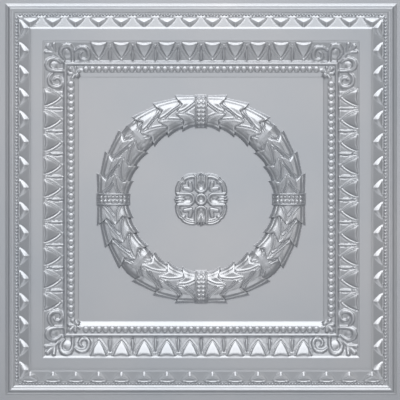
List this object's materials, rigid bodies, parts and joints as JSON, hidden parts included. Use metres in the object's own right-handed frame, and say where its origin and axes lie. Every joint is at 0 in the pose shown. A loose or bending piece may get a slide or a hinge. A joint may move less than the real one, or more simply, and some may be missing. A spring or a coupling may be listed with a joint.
{
  "type": "pvc drop ceiling tile",
  "caption": "Square thin formed sheet ceiling tile with a stepped, toothed and beaded border, a leaf wreath on the flat panel and a lobed rosette.",
  "frame": {"origin": "centre of the tile on its underside, on the level floor it lies on", "axes": "+Z out of the ornamented face; +X and +Y along the edges, +Y towards the top of the picture"},
  "size_m": [0.603, 0.603, 0.0158],
  "materials": {
    "sheet": "satin silver with a metallic look"
  },
  "bodies": {
    "root": {"ceiling_tile": "sheet"}
  },
  "joints": []
}
